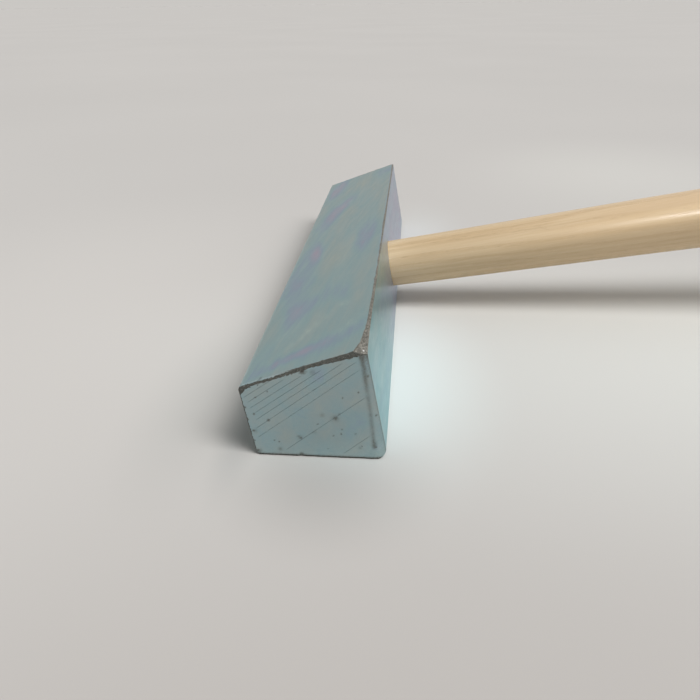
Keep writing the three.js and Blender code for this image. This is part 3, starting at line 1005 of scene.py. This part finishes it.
def ash_material():
    """Bare sanded ash. Growth rings are shells round a line beside the handle, so they run along it as
    streaks and cross its ends as arcs. The open grain of each ring holds pores drawn out along the handle.
    The handle's far part is a little redder, its lower side is darker with painted shade, and a paler streak,
    a painted highlight, runs between."""
    colours = bpy.context.scene.hammer_colours
    material, tree, shader = new_material("bare_ash")
    inputs = {"Vector": bar_coordinates(tree), "Rotation": (0.0, 0.012, -0.018)}
    tilted = add_node(tree, "ShaderNodeMapping", inputs).outputs[0]
    x, y, z = add_node(tree, "ShaderNodeSeparateXYZ", {"Vector": tilted}).outputs
    sway = noise(tree, stretched(tree, tilted, (0.012, 0.06, 0.06)), 1.0, 2.0, 0.5)
    off_y, off_z = calculate(tree, "SUBTRACT", y, HEART[0]), calculate(tree, "SUBTRACT", z, HEART[1])
    reach = calculate(tree, "ADD", product(tree, off_y, off_y), product(tree, off_z, off_z))
    reach = calculate(tree, "SQRT", reach)
    ring = calculate(tree, "FRACT", calculate(tree, "MULTIPLY_ADD", sway, 3.2, product(tree, reach, RINGS)))
    open_grain = product(tree, rise(tree, ring, 0.0, 0.10), rise(tree, ring, 0.55, 0.16))

    fibre = noise(tree, stretched(tree, tilted, (0.012, 0.85, 0.85)), 1.0, 3.0, 0.55)
    thread = noise(tree, stretched(tree, tilted, (0.06, 4.5, 4.5)), 1.0, 3.0, 0.6)
    broad = noise(tree, stretched(tree, tilted, (0.01, 0.12, 0.12)), 1.0, 2.0, 0.5)
    pore = rise(tree, noise(tree, stretched(tree, tilted, (0.35, 7.5, 7.5)), 1.0, 1.0, 0.5), 0.60, 0.70)
    pore = product(tree, pore, rise(tree, open_grain, 0.1, 0.8, 0.12, 1.0))
    # How far each point lies down towards the table and the viewer
    below = calculate(tree, "MULTIPLY_ADD", y, -0.5, product(tree, z, -0.87))
    # The paler streak along the far part is a painted highlight
    painted_highlight_streak = product(tree, rise(tree, below, -2.2, 0.2), rise(tree, below, 4.4, 1.6))
    painted_highlight_streak = product(tree, painted_highlight_streak, rise(tree, x, 20, 80, 0.0, 0.48))
    wood = layered(
        tree,
        colours.ash,
        (rise(tree, open_grain, 0.0, 1.0, 0.0, 0.45), colours.ash_ring),
        (rise(tree, fibre, 0.5, 0.68, 0.0, 0.5), PALE_FIBRE),
        (rise(tree, fibre, 0.5, 0.34, 0.0, 0.35), DARK_FIBRE),
        (rise(tree, thread, 0.5, 0.8, 0.0, 0.22), THREAD),
        (rise(tree, broad, 0.45, 0.75, 0.0, 0.2), BROAD_STREAK),
        (product(tree, pore, 0.30), DARK_PORE),
        (rise(tree, x, 15, 90, 0.0, 0.35), REDDER_WOOD),
        # Painted shade on the lower side
        (rise(tree, below, 0.5, 4.5, 0.0, 0.3), PAINTED_LOWER_SHADE),
        # Painted highlight along the far part
        (painted_highlight_streak, PAINTED_HIGHLIGHT_TINT),
    )
    height = calculate(tree, "MULTIPLY_ADD", pore, -0.7, product(tree, thread, 0.5))
    roughness, normal = rise(tree, thread, 0.3, 0.7, 0.17, 0.30), bump(tree, height, 0.00005, 0.6)
    connect(tree, shader, Base_Color=wood, Roughness=roughness, Normal=normal)
    shader.inputs["IOR"].default_value = 1.48
    return material


def wedge_wood_material():
    """Dark hardwood, end grain up: fine pores in bands across the wedge."""
    colours = bpy.context.scene.hammer_colours
    material, tree, shader = new_material("hardwood_wedge")
    place = bar_coordinates(tree)
    band = noise(tree, stretched(tree, place, (0.05, 0.5, 2.2)), 1.0, 3.0, 0.6)
    pore = rise(tree, noise(tree, stretched(tree, place, (0.3, 7.0, 7.0)), 1.0, 2.0), 0.56, 0.7)
    layers = (rise(tree, band, 0.3, 0.7), WEDGE_BAND), (product(tree, pore, 0.7), WEDGE_PORE)
    wood = layered(tree, colours.wedge_wood, *layers)
    roughness, normal = rise(tree, band, 0.2, 0.8, 0.55, 0.7), bump(tree, pore, 0.00006, -0.6)
    connect(tree, shader, Base_Color=wood, Roughness=roughness, Normal=normal)
    return material


def wedge_steel_material():
    """Plain steel, dented and smeared by the hammer that drove it in."""
    colours = bpy.context.scene.hammer_colours
    material, tree, shader = new_material("plain_wedge_steel")
    place = bar_coordinates(tree)
    dents = noise(tree, place, 1.3, 3.0, 0.55)
    smear = noise(tree, stretched(tree, place, (2.0, 6.0, 0.8)), 1.0, 3.0, 0.6)
    steel = mix_colours(tree, rise(tree, smear, 0.35, 0.75, 0.0, 0.6), colours.wedge_steel, SMEAR)
    shader.inputs["Metallic"].default_value = 1.0
    roughness, normal = rise(tree, smear, 0.2, 0.8, 0.32, 0.5), bump(tree, dents, 0.0002, 0.5)
    connect(tree, shader, Base_Color=steel, Roughness=roughness, Normal=normal)
    return material


# Painted light and painted shade on the table top, where it is paler or darker than the rest: middle and half
# width and length of each soft ellipse, in metres, and how much its tone is raised or lowered. The first is
# painted light for the light that the wide face throws, the second, third, eighth and ninth are painted pools
# of light, and the fourth to seventh are painted shade in front of the bar and beside its foot.
PAINTED_FLOOR_LIGHT_AND_SHADE = (
    ((0.014, -0.050), (0.030, 0.056), (0.16, 0.25, 0.28)),
    ((0.16, -0.03), (0.26, 0.10), (0.28, 0.34, 0.34)),
    ((-0.08, -0.02), (0.13, 0.17), (0.09, 0.085, 0.08)),
    ((0.02, -0.16), (0.16, 0.09), (-0.12, -0.14, -0.15)),
    ((0.002, -0.086), (0.027, 0.025), (-0.22, -0.22, -0.22)),
    ((-0.031, -0.06), (0.017, 0.05), (-0.09, -0.08, -0.08)),
    ((-0.018, -0.07), (0.006, 0.03), (-0.16, -0.14, -0.13)),
    ((0.13, 0.17), (0.12, 0.13), (0.10, 0.11, 0.10)),
    ((0.02, 0.06), (0.022, 0.07), (0.05, 0.08, 0.09)),
)


def floor_material():
    """A matt pale table top. Its tone drifts faintly, and rises or falls in a few soft ellipses of painted
    light and painted shade, each by its amount times a smooth fall from 1 in the middle to 0 at the rim."""
    stage = bpy.context.scene.stage_settings
    material, tree, shader = new_material("pale_floor")
    place = add_node(tree, "ShaderNodeTexCoord").outputs["Object"]
    tone = rise(tree, noise(tree, place, 3.0, 2.0, 0.5), 0.3, 0.7, 0.985, 1.01)
    tone = add_node(tree, "ShaderNodeCombineXYZ", {"X": tone, "Y": tone, "Z": tone}).outputs[0]
    # Painted light and painted shade, one soft ellipse at a time
    for (x, y), (width, length), tint in PAINTED_FLOOR_LIGHT_AND_SHADE:
        shift, scale = (-x / width, -y / length, 0.0), (1 / width, 1 / length, 0.0)
        inputs = {"Vector": place, "Location": shift, "Scale": scale}
        away = add_node(tree, "ShaderNodeMapping", inputs).outputs[0]
        away = add_node(tree, "ShaderNodeVectorMath", {0: away}, operation="LENGTH").outputs["Value"]
        inputs = {0: rise(tree, away, 1.0, 0.0), 1: tint, 2: tone}
        tone = add_node(tree, "ShaderNodeVectorMath", inputs, operation="MULTIPLY_ADD").outputs[0]
    shader.inputs["Roughness"].default_value = 1.0
    shader.inputs["Specular IOR Level"].default_value = 0.0
    connect(tree, shader, Base_Color=mix_colours(tree, 1.0, tone, stage.floor_colour, "MULTIPLY"))
    return material


# Operators


class OBJECT_OT_hammer_bar(bpy.types.Operator):
    """Build the zinc plated steel bar with its sawn ends, ground corner and eye"""

    bl_idname = "object.hammer_bar"
    bl_label = "Steel Bar"

    def execute(self, context):
        points, quads = bar_surface()
        for flat in ground_flats():
            points = grind(points, *flat)[0]
        piece = make_mesh("bar_head", placed(points), quads)
        cut(piece, eye_cutter())
        bar_attributes(piece)
        shade(piece, sharp_angle=32)
        give_material(piece, zinc_material())
        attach(piece, "root")
        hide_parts("head")
        return {"FINISHED"}


def handle_profile():
    """Profile rows of the whole handle: the tenon's flat end with a small rounded rim, the tenon, the
    straight taper, the belly, and a butt that rounds off on a cubic Bezier curve."""
    handle = bpy.context.scene.handle_sizes
    neck, shaft_end, shaft = mm(handle.neck_radius), mm(handle.shaft_end_radius), mm(handle.shaft_length)
    belly_at = shaft + mm(handle.swell_length)
    butt_at = belly_at + mm(handle.grip_length)
    taper = (shaft_end - neck) / shaft
    belly, butt, rounding = mm(handle.belly_radius), mm(handle.butt_radius), mm(handle.butt_rounding)
    tenon = tenon_rows(10)
    end_at, end_radius = tenon[0]
    rim = 0.2
    turn = np.linspace(0, np.pi / 2, 4)
    rim_rows = np.stack([end_at + rim * (1 - np.cos(turn)), end_radius - rim * (1 - np.sin(turn))], -1)
    face_rows = np.stack([np.full(5, end_at), np.linspace(0, end_radius - rim, 6)[:-1]], -1)
    dome = [[0, butt], [0.85 * rounding, butt], [rounding, 0.7 * butt], [rounding, 0.0]]
    return np.vstack([
        face_rows,
        rim_rows,
        tenon[1:],
        stretch((0, neck, taper), (shaft, shaft_end, taper), 100)[1:],
        stretch((shaft, shaft_end, taper), (belly_at, belly, 0), 60)[1:],
        stretch((belly_at, belly, 0), (butt_at, butt, 0), 34)[1:],
        bezier(*(np.array(dome) + [butt_at, 0]), 28)[1:],
    ])


def handle_wobble(at, angle, radius):
    """The slight unevenness of a hand sanded turning: mostly up to 0.03 mm either way, outside the head."""
    points = np.stack([at / 30 + 0 * angle, np.cos(angle) + 0 * at, np.sin(angle) + 0 * at], -1)
    outside = smooth_step(1, 14, at) * smooth_step(0, 4, radius)
    return 0.03 * waves(points, 1.7, 21) * outside


# The wedges: length, thickness at the butt and at the tip, and width, in millimetres
WOOD_WEDGE = (17, 2.6, 0.8, 14)
STEEL_WEDGE = (12, 1.9, 0.5, 8)


def wedge_slot(length, butt_thickness, tip_thickness, width, gap, crossed):
    """A tapered slot to cut with: eight corners from a place past the tenon's end to the wedge's tip, with a
    gap all round. Its thickness runs across the bar, or along it for the crossed wedge."""
    bar, handle = bpy.context.scene.bar_sizes, bpy.context.scene.handle_sizes
    end_at = -mm(bar.depth) - mm(handle.tenon_proud)
    past = 4
    grow = (butt_thickness - tip_thickness) / length
    at = np.array([end_at - past, end_at + length + gap])
    half = np.array([butt_thickness + past * grow, tip_thickness]) / 2 + gap
    side = width / 2 + gap
    ring = np.array([[-1, -1], [1, -1], [1, 1], [-1, 1]])
    rows = [np.stack([np.full(4, a), ring[:, 0] * side, ring[:, 1] * h], -1) for a, h in zip(at, half)]
    points = np.vstack(rows)
    if crossed:
        points = np.stack([points[:, 0], -points[:, 2], points[:, 1]], -1)
    quads = np.array([[0, 3, 2, 1], [4, 5, 6, 7], [0, 1, 5, 4], [1, 2, 6, 5], [2, 3, 7, 6], [3, 0, 4, 7]])
    return make_mesh("slot_cutter", placed(points), quads)


class OBJECT_OT_hammer_handle(bpy.types.Operator):
    """Build the turned ash handle with its slotted tenon"""

    bl_idname = "object.hammer_handle"
    bl_label = "Ash Handle"

    def execute(self, context):
        gap = mm(context.scene.handle_sizes.joint_gap)
        piece = lathe("ash_handle", handle_profile(), handle_wobble)
        cut(piece, wedge_slot(*WOOD_WEDGE, gap, crossed=False))
        cut(piece, wedge_slot(*STEEL_WEDGE, gap, crossed=True))
        shade(piece, sharp_angle=40)
        give_material(piece, ash_material())
        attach(piece, "root")
        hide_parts("handle")
        return {"FINISHED"}


class OBJECT_OT_hammer_wedges(bpy.types.Operator):
    """Give the hardwood wedge and the steel wedge their finishes"""

    bl_idname = "object.hammer_wedges"
    bl_label = "Wedges"

    def execute(self, context):
        give_material(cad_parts["wood_wedge"], wedge_wood_material())
        give_material(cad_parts["steel_wedge"], wedge_steel_material())
        return {"FINISHED"}


def make_floor(stage):
    """A round floor: rings that lie closer together in the middle, and a fan that closes them."""
    columns = 72
    radius = np.concatenate([np.linspace(0.02, 0.4, 12), np.geomspace(0.5, stage.floor_radius, 16)])
    angle = np.arange(columns) * 2 * np.pi / columns
    ring = np.stack([np.cos(angle), np.sin(angle), 0 * angle], -1)
    points = np.vstack([(radius[:, None, None] * ring).reshape(-1, 3), [[0, 0, 0]]])
    index = np.arange(len(radius) * columns).reshape(-1, columns)
    fan = np.stack([np.full(columns, len(points) - 1), index[0], np.roll(index[0], -1)], -1)
    floor = make_mesh("floor", points, ring_quads(index), fan)
    give_material(floor, floor_material())


def make_lamps(stage):
    """Three wide lamps side by side that light every surface but show in no reflection, and a small one that
    shows only in reflections."""
    middle = Vector(stage.lamp_direction).normalized()
    lamps = [("small_lamp", stage.small_lamp_direction, stage.small_lamp_spread, stage.small_lamp_strength)]
    for name, side in (("high_lamp", -1), ("middle_lamp", 0), ("low_lamp", 1)):
        direction = Quaternion((0, 1, 0), side * stage.lamp_distance) @ middle
        lamps.append((name, direction, stage.lamp_spread, stage.lamp_strength))
    for name, direction, spread, strength in lamps:
        lamp = bpy.data.lights.new(name, "SUN")
        lamp.angle = spread
        lamp.energy = strength
        lamp_object = bpy.data.objects.new(name, lamp)
        lamp_object.rotation_euler = Vector(direction).to_track_quat("Z", "Y").to_euler()
        lamp_object.visible_glossy = name == "small_lamp"
        lamp_object.visible_diffuse = name != "small_lamp"
        bpy.context.scene.collection.objects.link(lamp_object)


def make_world(stage):
    """A plain backdrop that is seen and reflected, with a sheen round the lamps in reflections. On surfaces
    it falls as a grey light that rises smoothly from fill light (1 - slant) behind to fill light (1 + slant)
    in the fill direction."""
    world = bpy.data.worlds.new("surroundings")
    world.use_nodes = True
    tree = world.node_tree
    direction = add_node(tree, "ShaderNodeTexCoord").outputs["Generated"]

    def cosine(way):
        inputs = {0: direction, 1: Vector(way).normalized()}
        return add_node(tree, "ShaderNodeVectorMath", inputs, operation="DOT_PRODUCT").outputs["Value"]

    ray = add_node(tree, "ShaderNodeLightPath")
    shown = calculate(tree, "MAXIMUM", ray.outputs["Is Camera Ray"], ray.outputs["Is Glossy Ray"])
    shown = calculate(tree, "MAXIMUM", shown, ray.outputs["Is Transmission Ray"])
    weak, strong = stage.fill_light * (1 - stage.fill_slant), stage.fill_light * (1 + stage.fill_slant)
    fill = rise(tree, cosine(stage.fill_direction), -1.0, 1.0, weak, strong)
    grey = add_node(tree, "ShaderNodeCombineColor", {"Red": fill, "Green": fill, "Blue": fill}).outputs[0]
    sheen = product(tree, rise(tree, cosine(stage.lamp_direction), 0.3, 1.0), ray.outputs["Is Glossy Ray"])
    light = layered(tree, grey, (shown, stage.backdrop), (sheen, LAMP_SHEEN))
    tree.links.new(light, tree.nodes["Background"].inputs["Color"])
    bpy.context.scene.world = world


def make_camera(stage):
    """The photograph's camera, on a 36 mm wide sensor."""
    camera = bpy.data.cameras.new("camera")
    camera.lens = stage.camera_lens
    camera.sensor_width = 36
    camera.clip_start = 0.01
    camera_object = bpy.data.objects.new("camera", camera)
    camera_object.location = stage.camera_place
    camera_object.rotation_euler = stage.camera_turn
    bpy.context.scene.collection.objects.link(camera_object)
    bpy.context.scene.camera = camera_object


class OBJECT_OT_hammer_stage(bpy.types.Operator):
    """Set the pale floor, the soft light and the photograph's camera"""

    bl_idname = "object.hammer_stage"
    bl_label = "Stage"

    def execute(self, context):
        stage = context.scene.stage_settings
        make_floor(stage)
        make_lamps(stage)
        make_world(stage)
        make_camera(stage)
        context.scene.view_settings.view_transform = "Standard"
        return {"FINISHED"}


operators = (OBJECT_OT_hammer_bar, OBJECT_OT_hammer_handle, OBJECT_OT_hammer_wedges, OBJECT_OT_hammer_stage)


class VIEW3D_PT_hammer(bpy.types.Panel):
    """Lists the pieces of the hammer"""

    bl_label = "Glazier Hammer"
    bl_idname = "VIEW3D_PT_hammer"
    bl_space_type = "VIEW_3D"
    bl_region_type = "UI"
    bl_category = "Hammer"

    def draw(self, context):
        column = self.layout.column()
        for operator in operators:
            column.operator(operator.bl_idname)


classes = (BarSizes, HandleSizes, HammerColours, StageSettings, *operators, VIEW3D_PT_hammer)


def register():
    """Registers the classes and hangs the settings on the scene."""
    for cls in classes:
        bpy.utils.register_class(cls)
    bpy.types.Scene.bar_sizes = bpy.props.PointerProperty(type=BarSizes)
    bpy.types.Scene.handle_sizes = bpy.props.PointerProperty(type=HandleSizes)
    bpy.types.Scene.hammer_colours = bpy.props.PointerProperty(type=HammerColours)
    bpy.types.Scene.stage_settings = bpy.props.PointerProperty(type=StageSettings)


def unregister():
    """Undoes register()."""
    del bpy.types.Scene.stage_settings
    del bpy.types.Scene.hammer_colours
    del bpy.types.Scene.handle_sizes
    del bpy.types.Scene.bar_sizes
    for cls in reversed(classes):
        bpy.utils.unregister_class(cls)


def main():
    """Builds the pieces and the stage."""
    register()
    bpy.ops.object.hammer_bar()
    bpy.ops.object.hammer_handle()
    bpy.ops.object.hammer_wedges()
    bpy.ops.object.hammer_stage()


if __name__ == "__main__":
    main()
